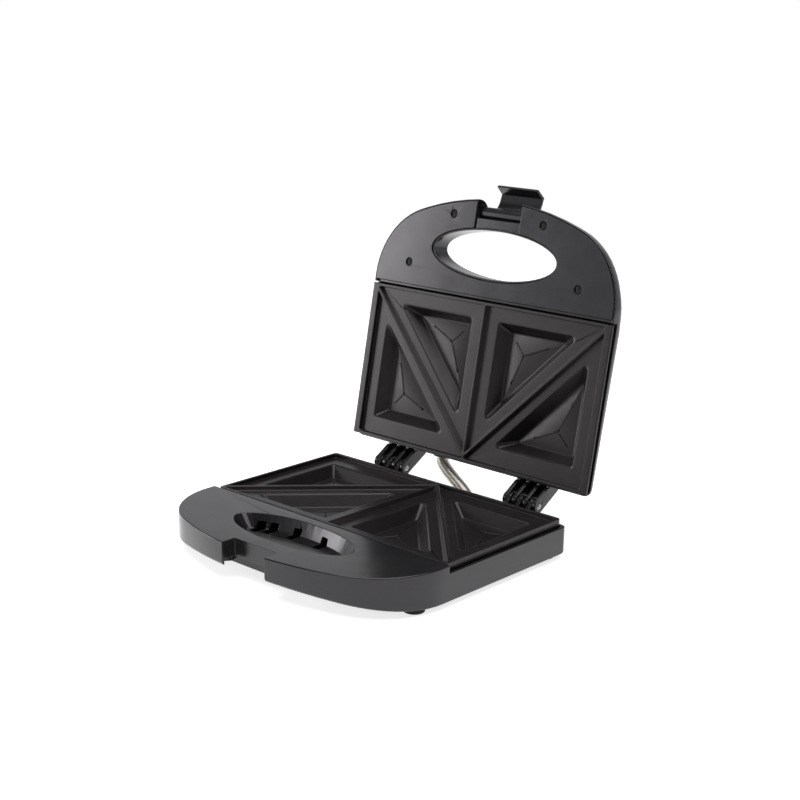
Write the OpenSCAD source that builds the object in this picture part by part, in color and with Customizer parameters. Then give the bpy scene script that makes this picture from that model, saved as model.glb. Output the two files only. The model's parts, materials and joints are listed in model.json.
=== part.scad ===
// Sandwich toaster: a base and a hinged lid, each with a coated cooking plate, and a swinging latch.
// Origin: on the worktop, midway between the four feet. +Y points to the hinges and +Z up.
// Most sizes in Z are given from the parting plane, where the two plates meet when the lid is shut.
// The lid pieces are drawn shut, and then swung back about the hinge pins to the rest pose.

/* [Cooking plates] */
// Width of the lower plate over its rim
plate_w = 220; // [206:1:234]
// Depth of both plates, front to back
plate_d = 120; // [114:1:130]
// How far the lip of the upper plate stands out at each side
upper_lip = 3.5; // [1:0.5:5]
// Height of the rim and of the ridges above the land
rim_h = 3.2; // [2:0.1:4]
// Width of the rim round each plate
rim_w = 2.4; // [1.5:0.1:3]
// Width of the ridges at the crest
ridge_w = 1.8; // [1:0.1:3]
// Width of the ridges at the foot
ridge_foot = 6; // [4:0.5:8]
// Thickness of the castings
plate_t = 2.4; // [1.8:0.1:2.6]
// Depth of the skirts, from the parting plane
skirt_h = 7.5; // [6.5:0.1:7.8]
// Depth of the pockets below the land
pocket_depth = 9; // [6:0.5:10]
// Width of the sloping pocket walls
pocket_slope = 6; // [3:0.5:7]
// Radius of the pocket corners
pocket_r = 1.5; // [1:0.5:4]
// Distance from the rim and the divider to a front pocket
front_margin = 13; // [12.5:0.5:16]
// Distance from the side rim and the back rim to a back pocket
back_margin = 13.5; // [13:0.5:17]
// Distance from a diagonal ridge to the pockets beside it
diagonal_margin = 9.5; // [8:0.5:12]
// Height of the three-sided rise on each pocket floor
floor_rise = 2.2; // [1:0.1:2.6]

/* [Casings] */
// Height of the base casing below the parting plane
base_h = 25.5; // [24.5:0.5:32]
// How far the base casing stands out beside the lower plate
base_margin = 4; // [3:0.5:6]
// Depth of the casing rims beside the plates, from the parting plane
rim_drop = 5.5; // [4.5:0.5:7]
// Wall of the casings
wall = 2.2; // [1.6:0.1:2.6]
// Distance from the front edge of the plates to the front of the handles
handle_reach = 75; // [70:1:84]
// Radius of the front of the handles
nose_r = 215; // [190:5:280]
// Radius of the corners of the handles
shoulder_r = 58; // [48:1:64]
// Radius of the back corners of the casings
back_r = 5; // [3:0.5:8]
// Height of the lid behind the handle
lid_h = 25.5; // [25:0.5:30]
// Height of the lid at its back
lid_back_h = 20.5; // [20:0.5:24]
// Height of the lid over the handle
grip_h = 17; // [15.5:0.5:19]
// How far the dome of the lid reaches in from the sides
crown_w = 44; // [40:1:46]
// Share of that reach at the back
crown_back = 0.35; // [0.3:0.01:0.4]
// How far the rounding of the handle reaches in from its edge
grip_crown = 18; // [14:1:24]
// Height at which the rounding of the handle starts
grip_side = 4; // [3.6:0.1:5]
// Height at which the dome starts, just behind the handle
dome_side = 8; // [7.5:0.1:8.5]
// Radius of the upper edge of the base
rim_r = 0.8; // [0.4:0.1:1.2]
// Radius of the lower edge of the base
edge_r = 2; // [1:0.1:2.2]
// Width of the edge of the lid round the handle cover
cover_edge = 1; // [0.8:0.1:1.4]
// Depth of the base at the front of the handle
nose_h = 16; // [14:0.5:20]
// Length over which the underside of the handle sweeps up
sweep_l = 67; // [50:1:72]
// Width of the latch notch in base and lid
notch_w = 41; // [38:1:48]
// Depth of the latch notch from the front
notch_d = 12.5; // [11.5:0.5:14]
// Distance from the front edge of the plates to the centre of the grip opening
grip_y = 34.5; // [33:0.5:37]
// Length of the oval grip opening
grip_l = 119; // [100:1:126]
// Width of the oval grip opening
grip_w = 39; // [32:1:40]
// Depth of the finger recess in the base
recess_depth = 9.5; // [6:0.5:10]
// How far the recess walls lean in
recess_lean = 5; // [2:0.5:7]
// Thickness of the handle cover
cover_t = 2.5; // [2:0.1:3]
// Thickness of the bottom cover
bottom_t = 2; // [1.5:0.1:2.5]

/* [Feet] */
// Height of the feet below the casing
foot_h = 3; // [2:0.5:6]
// Radius of the feet at the floor
foot_r = 7.5; // [6:0.5:8]
// Distance from the sides of the base in to the feet
foot_inset = 12.5; // [12:0.5:20]
// Distance from the front edge of the plates forward to the front feet
foot_front = 20.5; // [16:0.5:24]
// Distance from the back edge of the plates forward to the back feet
foot_back = 7.5; // [7:0.5:14]

/* [Hinges] */
// How far the hinge line lies behind the plates
hinge_back = 16; // [15:0.5:20]
// How far the hinge line lies below the parting plane
hinge_drop = 3.5; // [2.5:0.25:4.5]
// Angle of the lid between shut and its stop
open_angle = 101; // [95:1:106]
// Diameter of the hinge pins
pin_d = 5; // [4:0.5:6]
// Radius of the hinge eyes
eye_r = 5; // [4.6:0.1:5.4]
// Distance from the middle of the toaster to the middle of each hinge
hinge_x = 64; // [60:0.5:68]
// Width of each hinge over its outer cheeks
hinge_w = 30; // [29:1:40]
// Thickness of the hinge cheeks and ribs
cheek_t = 3.2; // [2.6:0.1:3.6]
// Side play between the parts of a hinge
hinge_play = 0.4; // [0.3:0.1:0.6]

/* [Latch] */
// Side play of the latch in its notch
latch_play = 1.5; // [1:0.1:2.5]
// Thickness of the latch
latch_t = 2.4; // [2:0.1:2.8]
// Radius of the latch barrel
barrel_r = 4.6; // [4:0.1:4.8]
// Height of the latch pin above the parting plane
latch_z = 8.5; // [8:0.25:9.5]
// Diameter of the latch pin
latch_pin_d = 3; // [2:0.25:3.5]
// Angle of the latch between hooked and flipped open
latch_angle = 125; // [110:1:128]

/* [Heating] */
// Diameter of the tubular heating elements
element_d = 6.2; // [5.5:0.1:6.4]
// Distance from the plate edge to the centre of the element
element_inset = 6.5; // [6:0.1:6.8]
// Radius of the bends of the element
element_bend = 10; // [8:0.5:14]
// Thickness of the reflector sheets
sheet_t = 0.6; // [0.5:0.1:0.8]
// Distance from the parting plane to the reflectors
sheet_z = 16.2; // [16:0.1:16.4]
// Distance from the plate edges to the lower reflector
sheet_inset = 4.4; // [4:0.1:6]
// Distance from the plate edges to the upper reflector
sheet_inset_lid = 24; // [22:1:30]
// Length of the legs of the upper element
leg_lid = 84; // [70:1:88]
// Thickness of the straps
strap_t = 0.8; // [0.6:0.1:0.8]
// Radius of the screw posts under the plates
post_r = 4; // [3.5:0.1:4.5]
// Diameter of the thermostat
thermostat_d = 16; // [14:0.5:17]

/* [Wire conduit] */
// Outer diameter of the sprung conduit
conduit_d = 9.6; // [8:0.2:10]
// Diameter of its wire
conduit_wire = 0.75; // [0.65:0.05:0.75]
// Number of its curls
conduit_turns = 26; // [20:1:28]
// Place of its lower end, from the middle of the toaster
conduit_base_x = 20; // [16:1:24]
// Place of its upper end, from the middle of the toaster
conduit_lid_x = -28; // [-32:1:-24]
// Depth of its lower end below the parting plane
conduit_base_z = 14.5; // [13.5:0.5:16]
// Height of its upper end above the parting plane, with the lid shut
conduit_lid_z = 11.3; // [11:0.1:11.6]

/* [Clearances] */
// Gap from the parting plane to each plate, with the lid shut
part_gap = 0.3; // [0.2:0.05:0.5]
// Gap round pieces that drop into others
fit_gap = 0.3; // [0.2:0.05:0.5]
// Radial clearance of pins in their bores
pin_gap = 0.06; // [0.03:0.01:0.1]

/* [Hidden] */

e = 0.01;
far = 400;
part_z = base_h + foot_h;
front_y = -(plate_d - foot_back - foot_front) / 2;
half_w = plate_w / 2;
base_hw = half_w + base_margin;
lid_hw = half_w + upper_lip;
base_back = plate_d + 2.5;
lid_back = plate_d + 1.8;
back_wall = lid_back - plate_d - fit_gap;
land_z = part_gap + rim_h;
under_z = land_z + plate_t;
apex_y = plate_d - rim_w - 1.6;
black = "#2b2a2c";
coat = "#232224";
steel = "#b9b9b6";

// Places everything in the frame of the plates: y = 0 at their front edge, z = 0 at the parting plane.
module at_plates() {
    translate([0, front_y, part_z]) children();
}

// Swings a lid piece from shut to the rest pose, in the frame of the plates.
module swung_lid() {
    translate([0, plate_d + hinge_back, -hinge_drop]) rotate([-open_angle, 0, 0])
        translate([0, -plate_d - hinge_back, hinge_drop]) children();
}

// Puts a piece and its mirror image at both sides.
module both_sides() {
    children();
    mirror([1, 0, 0]) children();
}

// Turns a profile drawn in Y and Z into a bar of a given width, centred on x.
module bar(x, width) {
    translate([x - width / 2, 0, 0]) rotate([90, 0, 90]) linear_extrude(width) children();
}

// A round rod along X.
module rod(x, y, z, r, length) {
    translate([x - length / 2, y, z]) rotate([0, 90, 0]) cylinder(r = r, h = length, $fn = 48);
}

// Points of an arc.
function arc(centre, r, from, to, steps) =
    [for (i = [0:steps]) let (a = from + (to - from) * i / steps) centre + r * [cos(a), sin(a)]];

// A closed solid through a stack of rings that have the same number of points, lowest first.
module loft(rings) {
    n = len(rings[0]);
    top = len(rings) - 1;
    sides = [for (k = [0:top - 1]) for (i = [0:n - 1]) let (j = (i + 1) % n)
        [k * n + i, (k + 1) * n + i, (k + 1) * n + j, k * n + j]];
    polyhedron([for (ring = rings) each ring],
        concat([[for (i = [0:n - 1]) i]], sides, [[for (i = [n - 1:-1:0]) top * n + i]]), convexity = 6);
}

// ---- outlines of the casings -------------------------------------------------------------

// Right half of a casing outline, from the front to the back. inset draws it in at the front and
// sides, and inset_back at the back.
function half_outline(hw, back, inset, inset_back) =
    let (cx = hw - shoulder_r,
        nose_y = nose_r - handle_reach,
        turn = asin(cx / (nose_r - shoulder_r)),
        cy = nose_y - (nose_r - shoulder_r) * cos(turn),
        side_steps = 10)
    concat(
        arc([0, nose_y], nose_r - inset, -90 + turn / 12, -90 + turn * 11 / 12, 5),
        arc([cx, cy], shoulder_r - inset, -90 + turn, 0, 12),
        [for (i = [1:side_steps]) [hw - inset, cy + (back - inset_back - back_r - cy) * i / side_steps]],
        arc([hw - inset - back_r, back - inset_back - back_r], back_r, 22.5, 90, 3));

function outline(hw, back, inset = 0, inset_back = 0) =
    let (half = half_outline(hw, back, inset, inset_back), n = len(half))
    concat(half, [for (i = [n - 1:-1:0]) [-half[i].x, half[i].y]]);

// A solid through rings that follow a casing outline. Its top and bottom may slope along Y.
module outline_loft(rings) {
    n = len(rings[0]);
    m = n / 2;
    top = (len(rings) - 1) * n;
    sides = [for (k = [0:len(rings) - 2]) for (i = [0:n - 1]) let (j = (i + 1) % n)
        [k * n + i, (k + 1) * n + i, (k + 1) * n + j, k * n + j]];
    lower = [for (i = [0:m - 2]) [i, i + 1, n - 2 - i, n - 1 - i]];
    upper = [for (i = [0:m - 2]) [top + i, top + n - 1 - i, top + n - 2 - i, top + i + 1]];
    polyhedron([for (ring = rings) each ring], concat(lower, sides, upper), convexity = 8);
}

// ---- cooking plates ----------------------------------------------------------------------

// Corners of the two pockets in the right half of a plate, anticlockwise.
slant = sqrt(1 / pow(half_w, 2) + 1 / pow(apex_y, 2));
front_k = 1 - diagonal_margin * slant;
back_k = 1 + diagonal_margin * slant;
back_x = half_w - back_margin;
back_y = plate_d - back_margin - rim_w;
front_pocket = [[front_margin, front_margin], [half_w * (front_k - front_margin / apex_y), front_margin],
    [front_margin, apex_y * (front_k - front_margin / half_w)]];
back_pocket = [[back_x, apex_y * (back_k - back_x / half_w)], [back_x, back_y],
    [half_w * (back_k - back_y / apex_y), back_y]];

function unit(v) = v / norm(v);

// Middle of the circle of a given radius that touches both sides at corner i, drawn in by an inset.
function corner_centre(c, i, reach) =
    let (p = c[i], u = unit(c[(i + 2) % 3] - p), v = unit(c[(i + 1) % 3] - p), half = acos(u * v) / 2)
    p + unit(u + v) * reach / sin(half);

// A triangle with round corners, drawn in by an inset, at height z.
function pocket_ring(c, inset, r, z, steps = 5) =
    [for (i = [0:2]) let (p = c[i], u = p - c[(i + 2) % 3], v = c[(i + 1) % 3] - p,
            from = atan2(-u.x, u.y), turn = (atan2(-v.x, v.y) - from + 360) % 360,
            m = corner_centre(c, i, inset + r))
        for (k = [0:steps]) let (a = from + turn * k / steps) [m.x + r * cos(a), m.y + r * sin(a), z]];

function incentre(c) =
    let (a = norm(c[1] - c[2]), b = norm(c[2] - c[0]), d = norm(c[0] - c[1]))
    (a * c[0] + b * c[1] + d * c[2]) / (a + b + d);

// The hollow of a pocket, or with grow the cast bowl round it.
module pocket(c, grow = 0) {
    floor_z = -land_z - pocket_depth - grow;
    loft([pocket_ring(c, pocket_slope - grow, pocket_r, floor_z),
        pocket_ring(c, -grow, pocket_r + 1, grow > 0 ? -land_z - e : -land_z + e)]);
}

// The low rise over a whole pocket floor: three facets whose edges meet in a Y.
module pocket_rise(c) {
    m = incentre(c);
    floor_z = -land_z - pocket_depth;
    feet = [for (i = [0:2]) let (q = corner_centre(c, i, pocket_slope)) [q.x, q.y, floor_z - 0.1]];
    polyhedron([each feet, [m.x, m.y, floor_z + floor_rise]], [[0, 1, 2], [0, 3, 1], [1, 3, 2], [2, 3, 0]]);
}

// A ridge with sloping sides between two points of the plate.
module ridge(a, b) {
    run = b - a;
    translate([a.x, a.y, -part_gap]) rotate([0, 0, atan2(run.y, run.x)]) rotate([90, 0, 90])
        linear_extrude(norm(run)) polygon([[-ridge_w / 2, 0], [-ridge_foot / 2, -rim_h - plate_t / 2],
            [ridge_foot / 2, -rim_h - plate_t / 2], [ridge_w / 2, 0]]);
}

// An upright block over the plan of a plate, drawn in by an inset, between two heights.
module plate_block(inset, low, high, r = 2.5) {
    x = half_w - inset;
    points = concat(arc([x - r, inset + r], r, -90, 0, 4), arc([x - r, plate_d - inset - r], r, 0, 90, 4),
        arc([r - x, plate_d - inset - r], r, 90, 180, 4), arc([r - x, inset + r], r, 180, 270, 4));
    translate([0, 0, low]) linear_extrude(high - low) polygon(points);
}

post_spots = [[0, front_margin + 9], [0, plate_d * 0.63], [half_w * 0.53, apex_y * 0.47],
    [-half_w * 0.53, apex_y * 0.47]];

// A cooking plate, face up. lip widens the rim at the sides.
module cooking_plate(lip = 0) {
    difference() {
        union() {
            difference() {
                plate_block(0, -skirt_h, -part_gap);
                plate_block(rim_w, -skirt_h - 1, -under_z);
                plate_block(rim_w, -land_z, 1);
            }
            if (lip > 0)
                both_sides() translate([half_w - rim_w / 2, 0, -part_gap - rim_w])
                    cube([lip + rim_w / 2, plate_d, rim_w]);
            intersection() {
                plate_block(e, -land_z - 1, -part_gap);
                union() {
                    ridge([0, -1], [0, plate_d]);
                    both_sides() ridge([half_w, 0] * 1.02, [0, apex_y]);
                }
            }
            both_sides() {
                pocket(front_pocket, plate_t);
                pocket(back_pocket, plate_t);
            }
            for (p = post_spots)
                translate([p.x, p.y, -sheet_z]) cylinder(r = post_r, h = sheet_z - land_z - e, $fn = 40);
        }
        both_sides() {
            difference() {
                pocket(front_pocket);
                pocket_rise(front_pocket);
            }
            difference() {
                pocket(back_pocket);
                pocket_rise(back_pocket);
            }
        }
        for (p = post_spots)
            translate([p.x, p.y, -sheet_z - 1]) cylinder(d = plate_screw_d, h = plate_screw_l, $fn = 32);
    }
}

plate_screw_d = 3.4;
plate_screw_l = 8;

element_r = element_d / 2;
element_x = half_w - element_inset;
element_z = -under_z - element_r - fit_gap / 3;

// The tubular element: up one side, across the front and up the other, with legs to leg_end.
module element(leg_end) {
    bend_y = element_inset + element_bend;
    translate([0, 0, element_z]) {
        both_sides() {
            translate([element_x, bend_y, 0]) rotate([-90, 0, 0])
                cylinder(r = element_r, h = leg_end - bend_y, $fn = 32);
            translate([element_x - element_bend, bend_y, 0]) rotate([0, 0, -90])
                rotate_extrude(angle = 90, $fn = 64) translate([element_bend, 0])
                    circle(r = element_r, $fn = 32);
        }
        rod(0, element_inset, 0, element_r, 2 * (element_x - element_bend));
    }
}

// Profile of a strap below a tube of radius r: half a ring, with a foot at the left and perhaps
// one at the right. The feet stand on a face at height rise above the middle of the tube.
module strap_profile(r, rise, left, right) {
    inner = r + pin_gap;
    outer = inner + strap_t;
    polygon(concat([[-inner, rise], [-outer - left, rise], [-outer - left, rise - strap_t],
        [-outer, rise - strap_t]], arc([0, 0], outer, 180, 360, 12),
        right > 0 ? [[outer, rise - strap_t], [outer + right, rise - strap_t], [outer + right, rise],
            [inner, rise]] : [], arc([0, 0], inner, 360, 180, 12)));
}

// A strap of a given width round a tube whose middle is at x, y, z. turn swings its foot.
module strap(x, y, z, r, width, turn, left, right) {
    translate([x, y, z]) rotate([0, 0, turn]) rotate([90, 0, 0]) translate([0, 0, -width / 2])
        linear_extrude(width) strap_profile(r, -under_z - z, left, right);
}

// Straps that hold the element against the casting. Those between element and pocket are short.
module clamps(leg_end) {
    back_y = leg_end - 5;
    back_foot = back_y - 4 > back_pocket[1].y + plate_t ? 5 : 1.5;
    for (y = [22, back_y]) {
        strap(element_x, y, element_z, element_r, 8, 0, y == back_y ? back_foot : 5, 0);
        strap(-element_x, y, element_z, element_r, 8, 180, y == back_y ? back_foot : 5, 0);
    }
    strap(0, element_inset, element_z, element_r, 8, -90, 5, 0);
}

tray_rim = sheet_z - (land_z + pocket_depth + plate_t) - fit_gap;

// Bright sheet tray behind the element, with an opening of radius gap_r in its middle.
module reflector(inset, gap_r) {
    color(steel) difference() {
        plate_block(inset, -sheet_z - sheet_t, -sheet_z + tray_rim, 4);
        plate_block(inset + sheet_t, -sheet_z, -sheet_z + 5, 4 - sheet_t);
        for (p = post_spots) {
            translate([p.x, p.y, -sheet_z - 3]) cylinder(r = plate_screw_d / 2 + 0.4, h = 6, $fn = 32);
            translate([p.x, p.y, -sheet_z]) cylinder(r = post_r + fit_gap, h = 6, $fn = 40);
        }
        if (gap_r > 0)
            translate([0, thermostat_y, -sheet_z - 3]) cylinder(r = gap_r, h = 6, $fn = 48);
    }
}

// Pan-head screws that hold the reflector to the posts.
module plate_screws() {
    color(steel) for (p = post_spots)
        translate([p.x, p.y, -sheet_z - sheet_t]) {
            translate([0, 0, -1.6]) cylinder(r = 3.2, h = 1.6, $fn = 32);
            cylinder(r = plate_screw_d / 2 - pin_gap, h = plate_screw_l - 1.2, $fn = 32);
        }
}

// ---- base ----------------------------------------------------------------------------------

sweep_rise = base_h - nose_h;
sweep_r = (pow(sweep_l, 2) + pow(sweep_rise, 2)) / (2 * sweep_rise);

// Rise of the underside at a place along Y.
function sweep_at(y) =
    let (d = max(0, sweep_l - handle_reach - y)) sweep_r - sqrt(pow(sweep_r, 2) - pow(d, 2));

function flat_ring(hw, back, inset, inset_back, z) =
    [for (p = outline(hw, back, inset, inset_back)) [p.x, p.y, z]];

// A ring at a given height above the swept underside of the base.
function low_ring(inset, lift) =
    [for (p = outline(base_hw, base_back, inset, inset)) [p.x, p.y, -base_h + sweep_at(p.y) + lift]];

function base_flat(inset, z) = flat_ring(base_hw, base_back, inset, inset, z);

deck_back = -1;
recess_steps = 48;
recess_x = grip_l / 2 - 4;
recess_y = grip_w / 2 + 1.5;
recess_mid = 5 - grip_y;

function oval_ring(rx, ry, y, z) =
    [for (i = [0:recess_steps - 1]) let (a = 360 * i / recess_steps) [rx * cos(a), y + ry * sin(a), z]];

floor_x = recess_x - recess_lean * 1.6;
floor_y = recess_y - recess_lean;

// The dished finger recess, or with grow the bowl round it.
module recess(grow = 0) {
    loft([oval_ring(floor_x + grow, floor_y + grow, recess_mid, -recess_depth - grow),
        oval_ring(recess_x + grow, recess_y + grow, recess_mid, grow > 0 ? -part_gap - e : 0)]);
}

vent_x = grip_l * [0.11, 0.286, 0.341];
vent_w = 4;
vent_l = 6;

// Drain holes in the floor of the recess, along its back edge.
module recess_vents() {
    both_sides() for (x = vent_x)
        translate([x - vent_w / 2, recess_mid + floor_y * sqrt(1 - pow(x / floor_x, 2)) - vent_l - 2,
                -recess_depth - wall - 1])
            cube([vent_w, vent_l, wall + 1 + e]);
}

boss_x = base_hw - wall - 6.5;
boss_spots = [[boss_x, 9], [boss_x, plate_d - foot_back - 24],
    [base_hw - foot_inset - 23.5, -foot_front - 3.5]];
boss_r = 4;
boss_screw_d = 2.8;
notch_front = -handle_reach + notch_d;
catch_z = 3 - nose_h;
catch_w = notch_w + 18;
catch_d = notch_d + wall + 2.5;

// What stands in the hollow of the base: cross wall, bowl, screw bosses and rests for the plate.
module base_inside() {
    intersection() {
        outline_loft([low_ring(wall / 2, bottom_t + fit_gap / 3),
            base_flat(wall / 2, -part_gap - wall / 2)]);
        union() {
            translate([-base_hw, deck_back - wall, -base_h]) cube([2 * base_hw, wall, base_h]);
            recess(wall);
            both_sides() for (p = boss_spots) let (h = base_h - (p.y > 0 ? sheet_z + sheet_t + fit_gap : 0))
                translate([p.x, p.y, -base_h]) {
                    cylinder(r = boss_r, h = h, $fn = 40);
                    if (p.y > 0)
                        translate([0, -1.2, 0]) cube([base_hw - p.x, 2.4, h]);
                }
            both_sides() for (y = [22, plate_d / 2, plate_d - 22])
                translate([half_w - rim_w, y - 1.5, -base_h]) cube([6, 3, base_h - skirt_h]);
        }
    }
}

// The hollow under the catch, in which the hook of the latch swings.
module catch_hollow() {
    intersection() {
        outline_loft([low_ring(wall, -3), base_flat(wall, -part_gap - wall)]);
        bar(0, catch_w) translate([-handle_reach, -base_h - 4]) square([catch_d, base_h + 4 + catch_z]);
    }
}

// Casing of the base: side walls, handle deck with its finger recess, latch notch and the fixed
// half of the hinges. Open below.
module base_shell() {
    color(black) at_plates() difference() {
        union() {
            difference() {
                outline_loft([low_ring(edge_r, 0), low_ring(edge_r * 0.29, edge_r * 0.29),
                    low_ring(0, edge_r),
                    base_flat(0, -part_gap - rim_r), base_flat(rim_r * 0.29, -part_gap - rim_r * 0.29),
                    base_flat(rim_r, -part_gap)]);
                difference() {
                    outline_loft([low_ring(wall, -3), base_flat(wall, -part_gap - wall)]);
                    base_inside();
                    bar(0, notch_w + 2 * wall) translate([-handle_reach, -base_h - 4])
                        square([notch_d + wall, base_h + 4]);
                    bar(0, catch_w + 2 * wall) translate([-handle_reach, -base_h - 4])
                        square([catch_d + wall, base_h + 4 + catch_z + wall]);
                }
                translate([-half_w - fit_gap - 0.5, deck_back, -part_gap - wall - e])
                    cube([plate_w + 2 * fit_gap + 1, base_back - wall - deck_back, far]);
                translate([-base_hw - 1, deck_back, -rim_drop])
                    cube([2 * base_hw + 2, base_back + 5, far]);
            }
            base_hinge(-hinge_x);
            base_hinge(hinge_x);
        }
        recess();
        recess_vents();
        bar(0, notch_w) translate([-handle_reach - 5, -base_h - 5]) square([5 + notch_d, base_h + 10]);
        catch_hollow();
        both_sides() for (p = boss_spots)
            translate([p.x, p.y, -base_h]) cylinder(d = boss_screw_d, h = 11, $fn = 32);
        translate([inlet_x, base_back + 1, -inlet_z]) rotate([90, 0, 0])
            cylinder(r = inlet_r, h = wall + 2, $fn = 48);
        translate([conduit_base_x, base_back + 1, -conduit_base_z]) rotate([90, 0, 0])
            cylinder(r = conduit_d / 2 + fit_gap, h = wall + 2, $fn = 48);
    }
}

foot_neck = 1.4;
foot_spots = [for (s = [-1, 1]) for (y = [-foot_front, plate_d - foot_back]) [s * (base_hw - foot_inset), y]];
screw_head_r = 2.8;
screw_head_h = 0.9;

// Flat cover that closes the base from below. It follows the sweep of the handle.
module bottom_cover() {
    color(black) at_plates() difference() {
        outline_loft([low_ring(wall + fit_gap, 0), low_ring(wall + fit_gap, bottom_t)]);
        bar(0, catch_w + 2 * wall + 2 * fit_gap) translate([-handle_reach - 5, -base_h - 5])
            square([5 + catch_d + wall + fit_gap, base_h + 5]);
        both_sides() for (p = boss_spots)
            translate([p.x, p.y, -base_h + sweep_at(p.y)]) {
                translate([0, 0, -2]) cylinder(r = boss_screw_d / 2 + 0.4, h = 8, $fn = 32);
                translate([0, 0, -3])
                    cylinder(r = screw_head_r + 0.5, h = 3.1 + screw_head_h, $fn = 32);
            }
        for (p = foot_spots)
            translate([p.x, p.y, -base_h - 1]) cylinder(r = foot_r - foot_neck + pin_gap, h = 6, $fn = 40);
        for (i = [-6:6]) for (y = [0.28, 0.62])
            translate([i * half_w / 12 - 1.5, y * plate_d, -base_h - 1]) cube([3, plate_d * 0.18, 6]);
    }
}

// Screws from below into the bosses of the base.
module bottom_screws() {
    color(steel) at_plates() both_sides() for (p = boss_spots)
        translate([p.x, p.y, -base_h + 0.1 + sweep_at(p.y)]) {
            cylinder(r = screw_head_r, h = screw_head_h, $fn = 32);
            cylinder(r = boss_screw_d / 2 - pin_gap, h = 7.5, $fn = 32);
        }
}

// Rubber feet with a neck that plugs into the bottom cover.
module feet() {
    color("#1c1c1c") at_plates() for (p = foot_spots)
        translate([p.x, p.y, -part_z]) {
            top = foot_h + bottom_t + sweep_at(p.y - foot_r);
            cylinder(r1 = foot_r - 0.5, r2 = foot_r, h = foot_h, $fn = 40);
            cylinder(r = foot_r - foot_neck, h = top + 0.5, $fn = 40);
            translate([0, 0, top]) cylinder(r = foot_r - 1, h = 1, $fn = 40);
        }
}

module lower_plate() {
    color(coat) at_plates() cooking_plate();
}

module lower_element() {
    color("#8c8c88") at_plates() element(plate_d - element_inset);
}

module lower_clamps() {
    color(steel) at_plates() clamps(plate_d - element_inset);
}

module lower_reflector() {
    at_plates() reflector(sheet_inset, 0);
}

module lower_plate_screws() {
    at_plates() plate_screws();
}

fuse_r = 2.6;
fuse_l = 24;
fuse_y = plate_d * 5 / 12;

// Thermal fuse in its ceramic sleeve, held against the middle of the plate.
module thermal_fuse() {
    color("#e6e2d8") at_plates() translate([0, fuse_y, -under_z - fuse_r - fit_gap / 3]) rotate([90, 0, 0])
        cylinder(r = fuse_r, h = fuse_l, center = true, $fn = 32);
}

module fuse_clip() {
    color(steel) at_plates() strap(0, fuse_y, -under_z - fuse_r - fit_gap / 3, fuse_r, 12, 0, 3.5, 3.5);
}

block_x = -60;
block_y = plate_d - 16;
block_w = 26;
block_h = 6.2;
insert_r = 1.9;

// Terminal block on the bottom cover, with two brass inserts.
module terminal_block() {
    color("#d8d4c8") at_plates() difference() {
        translate([block_x - block_w / 2, block_y - 4.5, -base_h + bottom_t]) cube([block_w, 9, block_h]);
        for (s = [-1, 1])
            translate([block_x + s * 6.5, block_y + 10, -base_h + bottom_t + block_h / 2])
                rotate([90, 0, 0]) cylinder(r = insert_r, h = 20, $fn = 32);
    }
}

module terminal_inserts() {
    color("#c9a545") at_plates() for (s = [-1, 1])
        translate([block_x + s * 6.5, block_y + 4, -base_h + bottom_t + block_h / 2]) rotate([90, 0, 0])
            difference() {
                cylinder(r = insert_r - pin_gap, h = 8, $fn = 32);
                translate([0, 0, -1]) cylinder(r = 1.2, h = 10, $fn = 32);
            }
}

inlet_x = -92;
inlet_z = 15.5;
inlet_r = 5.5;
lead_r = 3.6;

// Bushing round the opening for the mains lead.
module cord_inlet() {
    color("#1c1c1c") at_plates() translate([inlet_x, base_back, -inlet_z]) rotate([90, 0, 0])
        difference() {
            union() {
                translate([0, 0, -1.5]) cylinder(r = inlet_r + 1.5, h = 1.5, $fn = 48);
                cylinder(r = inlet_r - pin_gap, h = wall + 2, $fn = 48);
            }
            translate([0, 0, -5]) cylinder(r = lead_r, h = wall + 10, $fn = 48);
        }
}

// ---- hinges --------------------------------------------------------------------------------

pin_y = plate_d + hinge_back;
pin_z = -hinge_drop;
inner_w = hinge_w - 2 * cheek_t;
web_w = inner_w - 2 * hinge_play;
hinge_low = 20;
hinge_high = 7.5;

// Profile of a rib of the fixed half of a hinge: a web behind the casing and an eye round the pin.
module base_rib_profile() {
    difference() {
        union() {
            translate([pin_y, pin_z]) circle(r = eye_r, $fn = 64);
            polygon([[base_back - wall / 2, -hinge_low], [base_back - wall / 2, -hinge_high],
                [base_back + 2.5, -hinge_high], [pin_y - eye_r * 0.8, pin_z + eye_r * 0.5],
                [pin_y + eye_r * 0.6, pin_z - eye_r * 0.75], [base_back + 4, -hinge_low]]);
        }
        translate([pin_y, pin_z]) circle(r = pin_d / 2 + pin_gap, $fn = 64);
    }
}

// Fixed half of a hinge: three ribs, joined by a web below the pin.
module base_hinge(x) {
    for (s = [-1, 0, 1])
        bar(x + s * (web_w - cheek_t) / 2, cheek_t) base_rib_profile();
    bar(x, web_w) polygon([[base_back - wall / 2, -hinge_low], [base_back - wall / 2, 2.4 - hinge_low],
        [pin_y - 2, pin_z - eye_r - 1.6], [pin_y - 1, pin_z - eye_r - 3.6], [base_back + 4, -hinge_low]]);
}

// Steel pins on which the lid turns.
module hinge_pins() {
    color(steel) at_plates() for (side = [-1, 1])
        rod(side * hinge_x, pin_y, pin_z, pin_d / 2, hinge_w);
}

arm_low = rim_drop + 0.6;
arm_high = lid_back_h - 4;
arm_top = [lid_back + 3, arm_high];
arm_end = [pin_y + eye_r * 0.7, pin_z + eye_r * 0.68];

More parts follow.
